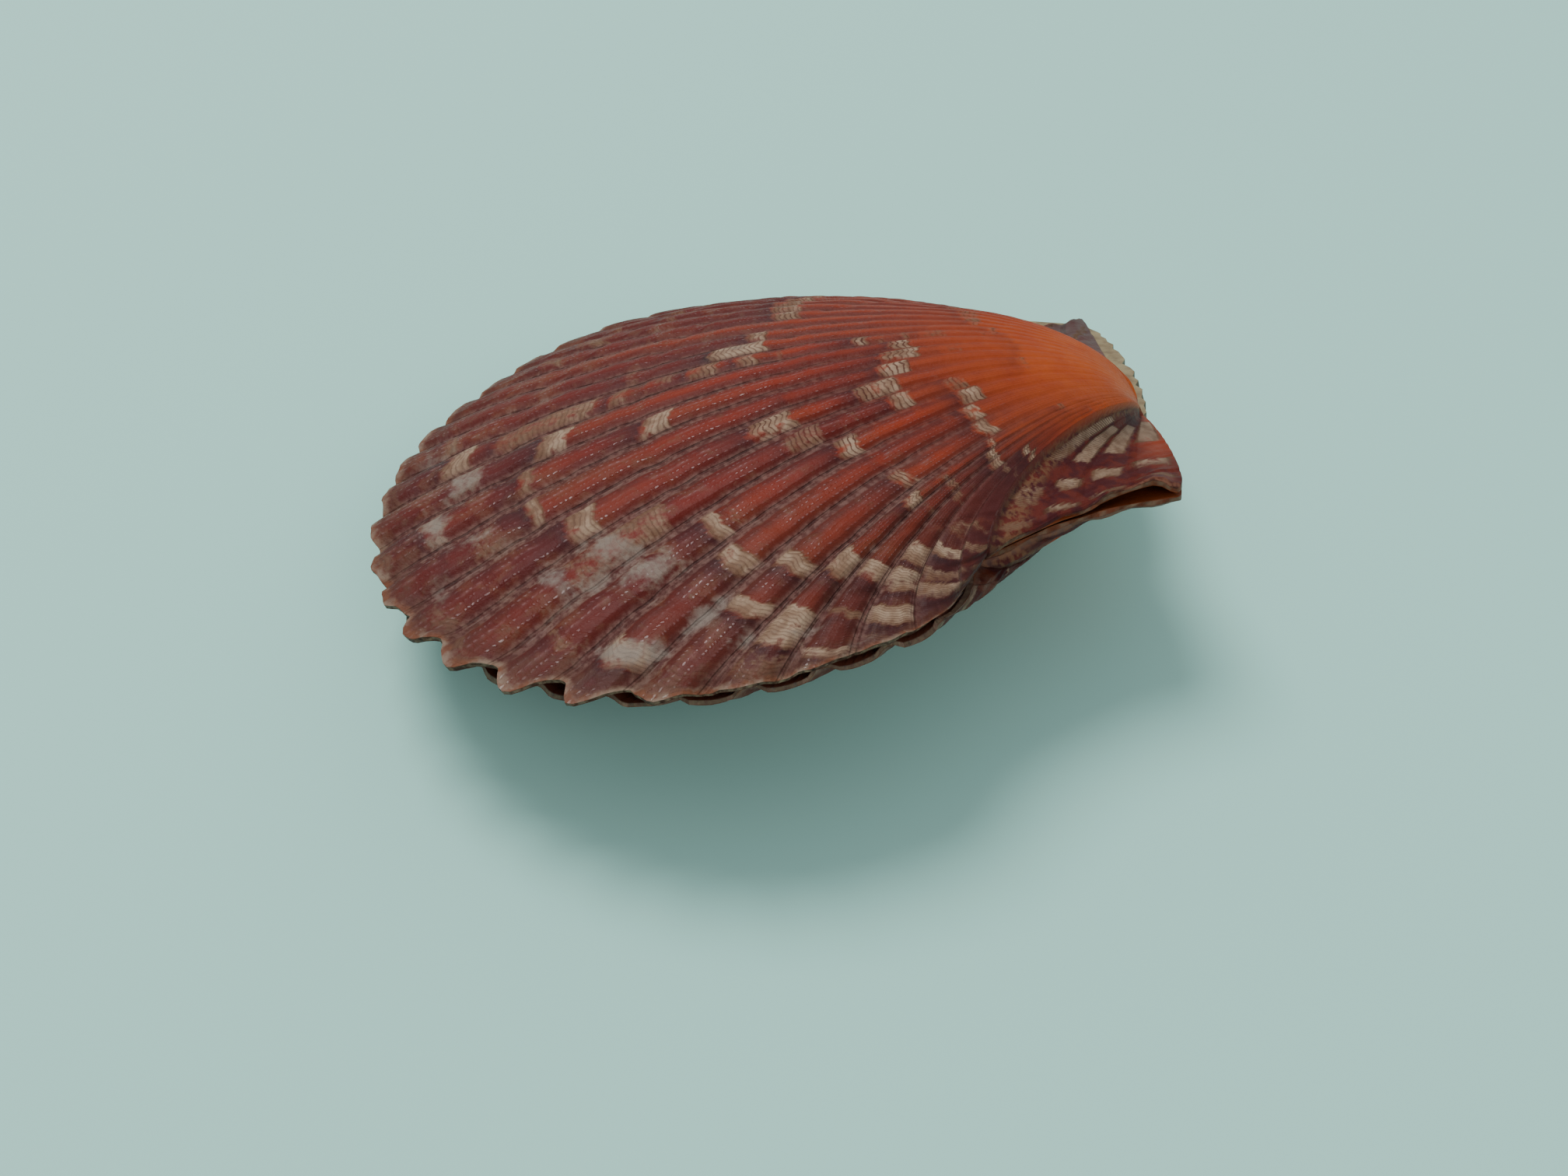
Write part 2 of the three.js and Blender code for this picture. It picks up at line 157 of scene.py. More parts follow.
def shrink_rate(valve, angle):
    """How fast the shell shrinks towards the beak along one track: flanks differ."""
    edge = margin_points(angle)
    bearing = np.arctan2(edge[..., 1], edge[..., 0])
    return valve["rate"] * (1 - valve["flank"] * (bearing / FLANK_BEARING) ** 2)


def disc_points(valve, track, turn):
    """The smooth disc: a track of the margin at a turn about the hinge."""
    end = blend(DISC_END_AT_BEAK, DISC_END, np.exp(-valve["rate"] * turn) ** DISC_END_BEND)
    squeeze = (end - FLANK_START) / (DISC_END - FLANK_START)
    beyond = np.maximum(np.abs(track) - FLANK_START, 0)
    angle = track - np.sign(track) * beyond * (1 - squeeze)
    edge = margin_points(angle)
    share = np.exp(-shrink_rate(valve, angle) * turn)
    along, up = np.cos(turn), np.sin(turn) * valve["side"]
    x, y, z = edge[..., 0], edge[..., 1], edge[..., 2]
    return share[..., None] * np.stack([x * along - z * up, y, x * up + z * along], -1)


def disc_normals(valve, track, turn, step=0.002):
    """Which way the outside faces. It never turns past the valve's own side, so the ribs don't
    fold under at the steep flanks."""
    along = disc_points(valve, track + step, turn) - disc_points(valve, track - step, turn)
    back = disc_points(valve, track, turn + step) - disc_points(valve, track, turn - step)
    normal = valve["side"] * np.cross(along, back)
    normal /= np.linalg.norm(normal, axis=-1, keepdims=True)
    facing = np.maximum(valve["side"] * normal[..., 2], LEAST_FACING)
    normal[..., 2] = valve["side"] * facing
    return normal / np.linalg.norm(normal, axis=-1, keepdims=True)


def rib_tracks(valve, number, share):
    """The track on which a rib lies when the valve has a share of its full size. The ribs are
    evenly spaced, but lean, and the lean changes as the valve grows."""
    terms = [still + growing * (share - RIB_LEAN_SHARE)
             for still, growing in zip(RIB_LEAN, RIB_LEAN_GROWTH)]
    lean = terms[0] + terms[1] * number + terms[2] * number ** 2
    return RIB_SPACING * (number + lean + valve["shift"])


def rib_shape(number):
    """A rib's section, from -0.5 at the bottom of a groove to 0.5 on the crest, and how far
    ribs are there at all: they die out on the flanks."""
    off = 2 * np.abs(number - np.round(number))
    fade = (ease(number, FIRST_RIB - 1, FIRST_RIB - 1 + FIRST_FADE)
            * (1 - ease(number, LAST_RIB + 1.5 - LAST_FADE, LAST_RIB + 1.5)))
    body = 0.5 - RIB_CREST * off ** 2 - RIB_SIDE * ease(off, RIB_SIDE_START, RIB_SIDE_STOP)
    thread = THREAD * np.exp(-((1 - off) / THREAD_HALF) ** 2)
    return fade * (body + thread), fade


def outer_lift(share):
    """How far the outer skin lies from the plane between the valves, at the margin."""
    return blend(HINGE_GAP + HINGE_WALL, EDGE_GAP + EDGE_WALL, share)


def ear_edge(valve, ear, across):
    """An ear's free edge on the plane between the valves, from the disc to the ear's tip."""
    foot = margin_points(np.float64(ear["end"] * DISC_END))
    point = (1 - across)[..., None] * foot
    point[..., 1] += ear["end"] * ear["length"] * across
    pull = ear["sinus"] * 4 * across * (1 - across)
    if valve["side"] < 0 and ear is ANTERIOR_EAR:
        notch = np.exp(-((across - NOTCH_AT) / NOTCH_HALF) ** 2)
        pull = NOTCH * notch * ease(across, 0, NOTCH_START)
    length = np.linalg.norm(point, axis=-1)
    return point * (1 - pull / length)[..., None]


def ear_points(valve, ear, across, turn, outside):
    """An ear: its free edge drawn smaller towards the beak, and a hollow curve down to it from
    high on the flank of the disc."""
    angle = np.float64(ear["end"] * DISC_END)
    share = np.exp(-shrink_rate(valve, angle) * turn)
    point = ear_edge(valve, ear, across)
    chips = EAR_CHIPS * ripples(across * 25, across * 11, 31 + ear["end"])
    point[..., 0] -= chips * share ** LIP_FALL
    point = point * share[..., None]
    foot = disc_points(valve, np.full_like(turn, angle), turn)
    aside = np.stack([-foot[..., 1], foot[..., 0], 0 * foot[..., 0]], -1)
    aside /= np.linalg.norm(aside, axis=-1, keepdims=True)
    width = EAR_FOOT * share * (1 - share ** EAR_FOOT_SPREAD)
    foot = foot + ear["end"] * width[..., None] * aside
    foot[..., 2] = blend(margin_points(angle)[2] * share, foot[..., 2], EAR_RISE)
    start = ear_edge(valve, ear, np.zeros(1))[0]
    shift = foot - start * share[..., None]
    point = point + (1 - across)[..., None] * shift
    point[..., 2] += ((1 - across) ** EAR_HOLLOW - (1 - across)) * shift[..., 2]
    openness = (1 - across) * share
    lift = blend(HINGE_GAP, EDGE_GAP, openness)
    if outside:
        rib = (1 - np.cos(2 * np.pi * ear["ribs"] * across)) / 2
        lift = outer_lift(openness) + ear["rib_height"] * rib * share
        lift = lift - (EDGE_WALL - EAR_WALL) * share ** EAR_WALL_FALL
        rings = np.sin(share * EAR_RING_PACE + ripples(across * 3, share * 3, 6))
        lift = lift - EAR_RING_DEPTH * share * ease(rings, EAR_RING_START, 1)
        lift = lift + EAR_STEPS * share * ripples(across * 30, share * 90, 5)
    else:
        inset = (1 - across) * (1 - share ** EAR_INSET_FALL)
        point[..., 0] += EAR_INSET_ALONG * inset
        point[..., 1] -= EAR_INSET_ASIDE * ear["end"] * inset
    if ear is POSTERIOR_EAR:
        point[..., 2] += EAR_BOW * 4 * across * (1 - across) * share ** 2
    if valve["side"] > 0 and ear is POSTERIOR_EAR:
        arch = ease(across, EAR_ARCH_START, EAR_ARCH_TOP) * (1 - ease(across, EAR_ARCH_TOP, 1))
        lift = lift + EAR_ARCH * arch * share ** EAR_ARCH_FALL
    if valve["side"] < 0 or ear is POSTERIOR_EAR:
        swell = ease(across, SWELL_START, 1) * np.sqrt(np.sin(np.pi * share))
        point[..., 0] -= ear["swell"] * swell
    if valve["side"] < 0 and ear is ANTERIOR_EAR:
        unevenness = FRILL_UNEVENNESS * ripples(share * 15, share * 7, 8)
        scales = np.abs(np.sin(np.pi * FRILL_SCALES * share ** FRILL_CROWDING + unevenness))
        point[..., 0] -= FRILL * swell * scales * ease(across, FRILL_START, 1)
    point[..., 2] += valve["side"] * lift
    return point


# Where each rib of a valve carries a cream patch: from one share of its growth to another,
# and how strong the patch is. They follow old growth rings, which droop to both flanks. The
# numbers from 20 up and from -20 down are ribs of the ears.
LEFT_PATCHES = {
    -12: [(0.47, 0.49, 0.4), (0.76, 0.80, 0.5), (0.95, 0.97, 0.4)],
    -11: [(0.46, 0.48, 0.5), (0.74, 0.78, 0.6), (0.93, 0.96, 0.4)],
    -10: [(0.44, 0.46, 0.5), (0.73, 0.76, 0.6), (0.90, 0.93, 0.3)],
    -9: [(0.41, 0.44, 0.6), (0.70, 0.73, 0.6), (0.92, 0.95, 0.5)],
    -8: [(0.39, 0.41, 0.5), (0.66, 0.70, 0.7), (0.89, 0.93, 0.5)],
    -7: [(0.36, 0.385, 0.5), (0.62, 0.67, 0.7), (0.86, 0.89, 0.5)],
    -6: [(0.335, 0.36, 0.5), (0.59, 0.64, 0.7), (0.80, 0.83, 0.5), (0.90, 0.93, 0.4)],
    -5: [(0.29, 0.325, 0.5), (0.553, 0.60, 0.75), (0.77, 0.79, 0.3), (0.865, 0.915, 0.6)],
    -4: [(0.275, 0.305, 0.5), (0.525, 0.562, 0.85), (0.74, 0.75, 0.3), (0.88, 0.92, 0.5)],
    -3: [(0.262, 0.288, 0.6), (0.54, 0.55, 0.2), (0.93, 0.94, 0.3)],
    -2: [(0.253, 0.268, 0.6), (0.528, 0.553, 0.9), (0.945, 0.96, 0.3)],
    -1: [(0.228, 0.242, 0.5), (0.30, 0.315, 0.25), (0.515, 0.582, 1.3), (0.677, 0.693, 0.5),
         (0.92, 0.94, 0.55)],
    0: [(0.205, 0.213, 0.4), (0.222, 0.246, 0.25), (0.285, 0.32, 0.45), (0.33, 0.339, 0.6),
        (0.358, 0.374, 0.3), (0.381, 0.396, 0.9), (0.48, 0.495, 0.45), (0.514, 0.54, 0.75),
        (0.561, 0.60, 0.65), (0.613, 0.653, 0.5), (0.672, 0.697, 0.65), (0.716, 0.845, 0.65),
        (0.875, 0.915, 0.9), (0.97, 0.995, 0.4)],
    1: [(0.198, 0.204, 0.5), (0.327, 0.35, 0.9), (0.742, 0.782, 1.0), (0.859, 0.895, 0.5)],
    2: [(0.193, 0.198, 0.5), (0.268, 0.297, 0.3), (0.32, 0.367, 0.85), (0.617, 0.657, 1.0),
        (0.793, 0.815, 0.7), (0.907, 0.934, 0.7), (0.975, 1.0, 0.5)],
    3: [(0.198, 0.204, 0.4), (0.341, 0.378, 1.0), (0.487, 0.494, 0.5), (0.804, 0.822, 0.85),
        (0.86, 0.92, 0.35), (0.985, 1.0, 0.4)],
    4: [(0.20, 0.215, 0.5), (0.367, 0.422, 0.85), (0.5045, 0.558, 0.9), (0.763, 0.80, 0.9),
        (0.955, 0.975, 0.5)],
    5: [(0.205, 0.22, 0.3), (0.297, 0.327, 0.55), (0.374, 0.404, 0.9), (0.444, 0.473, 0.25),
        (0.495, 0.547, 0.6), (0.71, 0.85, 0.6), (0.98, 1.0, 0.6)],
    6: [(0.301, 0.334, 1.0), (0.4825, 0.5137, 0.95), (0.67, 0.68, 0.5), (0.69, 0.715, 0.95),
        (0.765, 0.835, 0.4), (0.925, 0.945, 0.5)],
    7: [(0.335, 0.36, 0.9), (0.50, 0.51, 0.35), (0.73, 0.763, 1.0), (0.91, 0.955, 0.9)],
    8: [(0.358, 0.385, 0.9), (0.517, 0.543, 0.75), (0.725, 0.757, 0.95), (0.815, 0.848, 0.95),
        (0.955, 1.0, 0.4)],
    9: [(0.248, 0.262, 0.55), (0.40, 0.415, 0.9), (0.488, 0.53, 0.3), (0.565, 0.60, 0.95),
        (0.715, 0.77, 1.0), (0.84, 0.93, 1.15), (0.94, 1.0, 0.5)],
    10: [(0.255, 0.265, 0.3), (0.43, 0.45, 1.0), (0.53, 0.555, 0.5), (0.60, 0.61, 0.4),
         (0.748, 0.793, 0.95), (0.866, 0.89, 0.6), (0.96, 0.985, 1.0)],
    11: [(0.218, 0.23, 0.3), (0.455, 0.49, 0.8), (0.57, 0.60, 0.6), (0.715, 0.77, 0.95),
         (0.785, 0.85, 0.9), (0.89, 0.95, 1.0), (0.975, 1.0, 0.5)],
    12: [(0.235, 0.245, 0.3), (0.415, 0.437, 0.9), (0.48, 0.50, 0.6), (0.655, 0.70, 0.5),
         (0.74, 0.78, 1.1), (0.815, 0.86, 0.65), (0.866, 0.93, 0.8)],
    13: [(0.425, 0.45, 0.8), (0.49, 0.51, 0.4), (0.69, 0.71, 0.5), (0.76, 0.80, 0.6),
         (0.86, 0.90, 0.5), (0.94, 0.96, 0.6)],
    20: [(0.14, 0.38, 0.95), (0.50, 0.60, 0.7), (0.68, 0.74, 0.7), (0.80, 0.90, 0.65)],
    21: [(0.18, 0.42, 1.2), (0.52, 0.59, 0.9), (0.70, 0.76, 0.85), (0.88, 0.92, 0.65)],
    22: [(0.15, 0.40, 1.2), (0.53, 0.62, 1.05), (0.76, 0.82, 0.8), (0.92, 0.96, 0.65)],
    23: [(0.10, 0.34, 1.1), (0.55, 0.66, 0.9), (0.80, 0.86, 0.7)],
    -20: [(0.42, 0.50, 0.7), (0.70, 0.76, 0.7)],
    -21: [(0.30, 0.42, 0.8), (0.60, 0.66, 0.8), (0.85, 0.90, 0.6)],
    -22: [(0.34, 0.46, 0.8), (0.55, 0.60, 0.5), (0.76, 0.82, 0.8)],
    -23: [(0.28, 0.40, 0.7), (0.58, 0.66, 0.8), (0.88, 0.93, 0.6)],
    -24: [(0.36, 0.48, 0.8), (0.70, 0.78, 0.7)],
}
POSTERIOR_DROOP, ANTERIOR_DROOP = 0.0065, 0.012
PATCH_CURVE, PATCH_CURVE_MIDDLE = 0.013, 0.4
PATCH_FRAY, FINE_PATCH_FRAY = 0.005, 0.003
GROOVE, EAR_GROOVE, PATCH_IN_GROOVE, LAST_NARROW_RIB = (0.4, 0.5), (0.24, 0.5), 0.5, 9.5
PATCH_START, PATCH_FADING = 1.15, 0.45
PATCH_RISE, PATCH_FALL, BLOTCH_RISE = (-0.005, 0.004), (-0.008, 0.008), (-0.004, 0.002)
BLOTCH_LENGTH, FLANK_BLOTCH_LENGTH, FLANK_RIBS = 0.02, 0.03, (9, 12)
STRONG_PATCH, LEAST_WARMING = 0.6, 0.02
PAST_THE_MARGIN = (1.06, 1.1, 0.0)

# Dusty grey-white spots: rib number, growth, half widths in both, strength.
LEFT_BLOOM = [
    (2.8, 0.89, 0.35, 0.040, 0.5), (5.0, 0.79, 0.60, 0.030, 0.8), (4.8, 0.86, 0.40, 0.020, 0.8),
    (6.0, 0.80, 0.50, 0.045, 0.75), (5.4, 0.84, 0.30, 0.060, 0.6), (7.5, 0.85, 0.26, 0.045, 0.8),
    (7.0, 0.932, 0.50, 0.026, 1.0), (2.0, 0.92, 0.50, 0.020, 0.9), (1.0, 0.877, 0.50, 0.030, 0.8),
    (-0.6, 0.95, 0.40, 0.026, 0.5), (-1.4, 0.965, 0.50, 0.020, 0.5),
    (9.4, 0.90, 0.40, 0.018, 0.6), (10.6, 0.975, 0.50, 0.012, 0.6),
    (3.6, 0.955, 0.35, 0.020, 0.6), (8.4, 0.90, 0.25, 0.030, 0.5),
    (-1.0, 0.548, 0.40, 0.030, 0.45),
]


def marks(patches, number, share):
    """Over a valve: the old growth ring a point lies on, masks of the cream patches and of the
    dark blotch after each, and how warm the red is. A patch starts pale and fades out as the
    rib grows on, and each rib warms up to its next strong patch."""
    rib = np.round(number)
    off = number - rib
    droop = np.where(rib > 0, POSTERIOR_DROOP, ANTERIOR_DROOP) * rib * share
    grown = share - droop * off + PATCH_CURVE * share * ((2 * off) ** 2 - PATCH_CURVE_MIDDLE)
    fray = (PATCH_FRAY * ripples(number * 9, share * 40, 3)
            + FINE_PATCH_FRAY * ripples(number * 23, share * 9, 4))
    grown = grown + share * fray
    side = 1 - PATCH_IN_GROOVE * ease(np.abs(off), *GROOVE) * (number < LAST_NARROW_RIB)
    on_ear = np.abs(number) > FIRST_EAR_RIB - 1
    side = np.where(on_ear, 1 - ease(np.abs(off), *EAR_GROOVE), side)
    fading = BLOTCH_LENGTH + FLANK_BLOTCH_LENGTH * ease(np.abs(rib), *FLANK_RIBS)
    cream = np.zeros(share.shape)
    dark = np.zeros(share.shape)
    warm = np.ones(share.shape)
    for key, spans in patches.items():
        here = rib == key
        before = 0.0
        for start, stop, strength in spans + [PAST_THE_MARGIN]:
            span = ease(grown - start, *PATCH_RISE) * (1 - ease(grown - stop, *PATCH_FALL))
            along = np.clip((grown - start) / (stop - start), 0, 1)
            span = span * (PATCH_START - PATCH_FADING * along)
            cream = np.where(here, np.maximum(cream, span * strength * side), cream)
            after = ease(grown - stop, *BLOTCH_RISE)
            after = after * np.exp(-np.maximum(grown - stop, 0) / fading)
            dark = np.where(here, np.maximum(dark, after * strength), dark)
            if strength > STRONG_PATCH or strength == 0.0:
                rise = np.clip((grown - before) / max(start - before, LEAST_WARMING), 0, 1)
                between = here & (grown >= before) & (grown < start) & (before > 0)
                warm = np.where(between, rise, warm)
                before = stop
    return grown, cream, dark, warm


def dusting(spots, number, share):
    """A mask of the dusty spots."""
    total = np.zeros(share.shape)
    for at, grown, wide, long, strength in spots:
        spot = strength * np.exp(-((number - at) / wide) ** 2 - ((share - grown) / long) ** 2)
        total = np.maximum(total, spot)
    return total


ANTERIOR_COLUMNS, FLANK_COLUMNS, RIB_COLUMNS, POSTERIOR_COLUMNS = 25, 12, 14, 21
CREST_SPREAD = 0.4


def valve_columns(valve, rows):
    """The columns of a valve from the anterior ear's tip round the disc to the posterior
    ear's tip: places across each ear, and the track and rib number of each column between."""
    anterior = np.linspace(1, 0, ANTERIOR_COLUMNS)
    posterior = np.linspace(0, 1, POSTERIOR_COLUMNS)
    fine = np.arange(RIB_COLUMNS) / RIB_COLUMNS - 0.5
    fine = fine + CREST_SPREAD * np.sin(2 * np.pi * fine) / (2 * np.pi)
    ribs = [rib + fine for rib in range(FIRST_RIB, LAST_RIB + 1)]
    numbers = np.concatenate(ribs + [[LAST_RIB + 0.5]])
    numbers = np.broadcast_to(numbers, (len(rows), len(numbers)))
    tracks = rib_tracks(valve, numbers, rows[:, None])
    flank = np.linspace(0, 1, FLANK_COLUMNS)[None, :-1]
    first = blend(-DISC_END, tracks[:, :1], flank)
    last = blend(DISC_END, tracks[:, -1:], flank)[:, ::-1]
    tracks = np.concatenate([first, tracks, last], 1)
    width = np.broadcast_to(1 - flank, first.shape)
    before, after = FIRST_RIB - 0.5 - width, LAST_RIB + 0.5 + width[:, ::-1]
    return anterior, tracks, np.concatenate([before, numbers, after], 1), posterior


def drawn_out(valve, numbers, share, fade):
    """How much more than the smooth margin a valve has grown, in shares of its size: its rib
    ends swing out, its front lips reach forward or stay back, and its edge is chipped."""
    uneven = 1 + WAVE_UNEVENNESS * ripples(numbers * 1.1, numbers * 0.4, 23)
    wave = np.cos(2 * np.pi * numbers) * uneven
    if valve["side"] < 0:
        wave = wave * (1 - ease(numbers, *SMOOTH_LOWER_RIBS))
    front = ease(numbers, *FRONT_RIBS)
    reach = fade * valve["wave"] * wave * blend(ANTERIOR_WAVE, 1, front) * share ** WAVE_FALL
    lips = front * (1 - ease(numbers, *LIP_END_RIBS))
    reach = reach + valve["reach"] * lips * share ** LIP_FALL
    back = blend(1, POSTERIOR_BACK, ease(numbers, *BACK_END_RIBS))
    reach = reach - valve["back"] * back * share ** LIP_FALL
    chips = (CHIPS * ripples(numbers * 7, numbers * 3, 21)
             + FINE_CHIPS * ripples(numbers * 19, numbers, 22))
    return reach + chips * share ** CHIP_FALL


def relief(valve, numbers, share, shape, outside):
    """How high a skin lies over the smooth disc. The outer skin has ribs, growth steps and
    rings. The inner one is a wall's thickness down, and ribbed only by the margin."""
    faint = POSTERIOR_FAINT * ease(numbers, *POSTERIOR_FAINT_RIBS)
    faint = faint * (1 - ease(share, *POSTERIOR_FAINT_SHARE))
    anterior = ANTERIOR_FAINT * (1 - ease(numbers, *ANTERIOR_FAINT_RIBS))
    faint = faint + anterior * ease(share, *ANTERIOR_FAINT_SHARE)
    height = RIB_HEIGHT * share * shape * blend(YOUNG_RIBS, 1, ease(share, *YOUNG_SHARE))
    height = height * (1 - faint)
    if not outside:
        wall = blend(DISC_WALL, EDGE_WALL, share ** WALL_FALL)
        return height * share ** INNER_RIB_FALL - wall
    height = height * (1 + RIB_UNEVENNESS * ripples(numbers * 3, share * 25, 11))
    if valve["side"] > 0:
        height = height + UMBO_SWELL * ease(share, *UMBO_RISE) * (1 - ease(share, *UMBO_FALL))
    height = height + BROAD_STEPS * share * ripples(numbers * 1.3, share * 60, 12)
    height = height + FINE_STEPS * share * ripples(numbers * 8, share * 190, 13)
    rings = np.sin(share * RING_PACE + 0.25 * np.sin(numbers * 0.6) + 0.9 * np.sin(share * 9))
    return height - RING_DEPTH * share * ease(rings, RING_START, 1)


def valve_skin(valve, rows, outside):
    """The points of a valve's outer or inner skin, row by row from the margin, and what the
    finish needs to know at each: rib number, growth, how ribbed it is, and if it is an ear."""
    turn = -np.log(rows)[:, None] / valve["rate"]
    anterior, tracks, numbers, posterior = valve_columns(valve, rows)
    shape, fade = rib_shape(numbers)
    share = np.exp(-shrink_rate(valve, tracks) * turn)
    disc_turn = turn - drawn_out(valve, numbers, share, fade) / valve["rate"]
    point = disc_points(valve, tracks, disc_turn)
    normal = disc_normals(valve, tracks, disc_turn)
    point = point + normal * relief(valve, numbers, share, shape, outside)[..., None]
    dip = valve["dip"] * 2 * np.maximum(shape, 0) * share ** DIP_FALL
    arched = (1 - np.cos(2 * np.pi * numbers)) / 2
    arched = arched * (1 + MOUTH_UNEVENNESS * ripples(numbers * 1.7, numbers, 24))
    raised = ease(numbers, *FRONT_RIBS) * (1 - ease(numbers, *MOUTH_END_RIBS))
    dip = dip + valve["mouth"] * arched * raised * share ** LIP_FALL
    point[..., 2] += valve["side"] * (outer_lift(share) + dip)
    points, facts = [], {name: [] for name in ("number", "grown", "ribbed", "ear")}

    def add(block, **values):
        points.append(block)
        for name, value in values.items():
            facts[name].append(np.broadcast_to(value, block.shape[:2]))

    for ear, across in ((ANTERIOR_EAR, anterior), (POSTERIOR_EAR, posterior)):
        places = np.broadcast_to(across, (len(rows), len(across)))
        block = ear_points(valve, ear, places, np.broadcast_to(turn, places.shape), outside)
        number = ear["end"] * (FIRST_EAR_RIB - 0.5 + ear["ribs"] * places)
        add(block, number=number, grown=rows[:, None], ribbed=0.0, ear=1.0)
        if ear is ANTERIOR_EAR:
            add(point, number=numbers, grown=share, ribbed=fade, ear=0.0)
    joined = {name: np.concatenate(value, 1) for name, value in facts.items()}
    return np.concatenate(points, 1), joined


FIELDS = ("number", "grown", "ribbed", "ear", "ring", "cream", "dark", "warm", "bloom", "inside")


def skin_grid(bm, points, facts):
    """A sheet of faces over a grid of points. Returns its corners by row and column."""
    rows, columns = points.shape[:2]
    made = bmesh.ops.create_grid(bm, x_segments=columns - 1, y_segments=rows - 1, size=1)["verts"]
    layers = [bm.verts.layers.float[name] for name in FIELDS]
    grid = [[None] * columns for _ in range(rows)]
    values = [facts[name] for name in FIELDS]
    for vert in made:
        column = round((vert.co.x + 1) / 2 * (columns - 1))
        row = round((vert.co.y + 1) / 2 * (rows - 1))
        grid[row][column] = vert
        vert.co = points[row, column]
        for layer, value in zip(layers, values):
            vert[layer] = value[row, column]
    return grid


def chain(corners):
    """The edges from corner to corner of a run."""
    return [next(edge for edge in a.link_edges if edge.other_vert(a) is b)
            for a, b in zip(corners, corners[1:])]


# Rows of points from the margin towards the beak, as shares of full size.
OUTER_ROWS = np.linspace(1, 0.02, 170)
INNER_ROWS = blend(1, 0.08, np.linspace(0, 1, 36) ** 2)


def grow_valve(name, valve, patches, spots):
    """One valve: an outer and an inner skin, closed at the beak and the middle of the hinge,
    joined round the margin and along the hinge, and worn flat where it lies on the ground."""
    bm = bmesh.new()
    for field in FIELDS:
        bm.verts.layers.float.new(field)
    outer, facts = valve_skin(valve, OUTER_ROWS, True)
    inner, hidden = valve_skin(valve, INNER_ROWS, False)
    place = facts["number"], facts["grown"]
    facts["ring"], facts["cream"], facts["dark"], facts["warm"] = marks(patches, *place)
    facts["bloom"] = dusting(spots, *place)
    facts["inside"] = np.zeros(outer.shape[:2])
    for field in ("ring", "cream", "dark", "warm", "bloom"):
        hidden[field] = np.zeros(inner.shape[:2])
    hidden["inside"] = np.ones(inner.shape[:2])
    top = skin_grid(bm, outer, facts)
    under = skin_grid(bm, inner, hidden)
    seams = [chain(top[0]) + chain(under[0])]
    for column in (0, -1):
        seams.append(chain([row[column] for row in top]) + chain([row[column] for row in under]))
    for seam in seams:
        for edge in seam:
            edge.smooth = False
    for seam in seams:
        bmesh.ops.bridge_loops(bm, edges=seam)
    beak = Vector(outer[-1].mean(0))
    hinge = Vector((0, 0, valve["side"] * HINGE_GAP))
    bmesh.ops.pointmerge(bm, verts=top[-1], merge_co=beak)
    bmesh.ops.pointmerge(bm, verts=under[-1], merge_co=hinge)
    bmesh.ops.recalc_face_normals(bm, faces=bm.faces)
    bmesh.ops.transform(bm, matrix=LAID, verts=bm.verts)
    for vert in bm.verts:
        vert.co.z = max(vert.co.z, 0)
    for face in bm.faces:
        face.smooth = True
    mesh = bpy.data.meshes.new(name)
    bm.to_mesh(mesh)
    bm.free()
    piece = bpy.data.objects.new(name, mesh)
    bpy.context.scene.collection.objects.link(piece)
    return piece


left_piece = grow_valve("left_valve_shell", LEFT, LEFT_PATCHES, LEFT_BLOOM)
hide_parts("left_valve")
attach(left_piece, "root")


def put(tree, kind, *inputs, **settings):
    """Adds a node, feeds its inputs in order with links or values, and gives its output."""
    node = tree.nodes.new(kind)
    for key, value in settings.items():
        setattr(node, key, value)
    for socket, value in zip(node.inputs, inputs):
        if isinstance(value, bpy.types.NodeSocket):
            tree.links.new(value, socket)
        elif value is not None:
            socket.default_value = value
    return node.outputs[0]


class Paint:
    """Puts nodes for sums, fades and colour mixes into one node tree."""

    def __init__(self, tree):
        self.tree = tree

    def work(self, operation, *inputs):
        return put(self.tree, "ShaderNodeMath", *inputs, operation=operation)

    def times(self, first, *others):
        for other in others:
            first = self.work("MULTIPLY", first, other)
        return first

    def plus(self, first, *others):
        for other in others:
            first = self.work("ADD", first, other)
        return first

    def around(self, value, amount):
        """A 0 to 1 value turned into an unevenness about zero."""
        return self.times(self.work("SUBTRACT", value, 0.5), amount)

    def fade(self, value, low, high, start=0.0, stop=1.0):
        """Goes smoothly from start to stop while the value goes from low to high."""
        return put(self.tree, "ShaderNodeMapRange", value, low, high, start, stop,
                   interpolation_type="SMOOTHSTEP")

    def mix(self, share, first, second):
        """From the first colour to the second, by a share."""
        node = self.tree.nodes.new("ShaderNodeMix")
        node.data_type = "RGBA"
        sockets = node.inputs[0], node.inputs[6], node.inputs[7]
        for socket, value in zip(sockets, (share, first, second)):
            if isinstance(value, bpy.types.NodeSocket):
                self.tree.links.new(value, socket)
            else:
                socket.default_value = (*value, 1)
        return node.outputs[2]

    def ramp(self, value, stops):
        """Colours at stops along a value."""
        colours = put(self.tree, "ShaderNodeValToRGB", value)
        elements = colours.node.color_ramp.elements
        while len(elements) < len(stops):
            elements.new(0.5)
        for element, (at, colour) in zip(elements, stops):
            element.position = at
            element.color = (*colour, 1)
        return colours

    def read(self, name):
        """What the mesh carries at each of its points."""
        node = self.tree.nodes.new("ShaderNodeAttribute")
        node.attribute_name = name
        return node.outputs["Fac"]

    def grain(self, place, scale, detail=3.0):
        """Unevenness from 0 to 1, with a number of grains to the metre."""
        return put(self.tree, "ShaderNodeTexNoise", place, None, scale, detail,
                   noise_dimensions="3D")


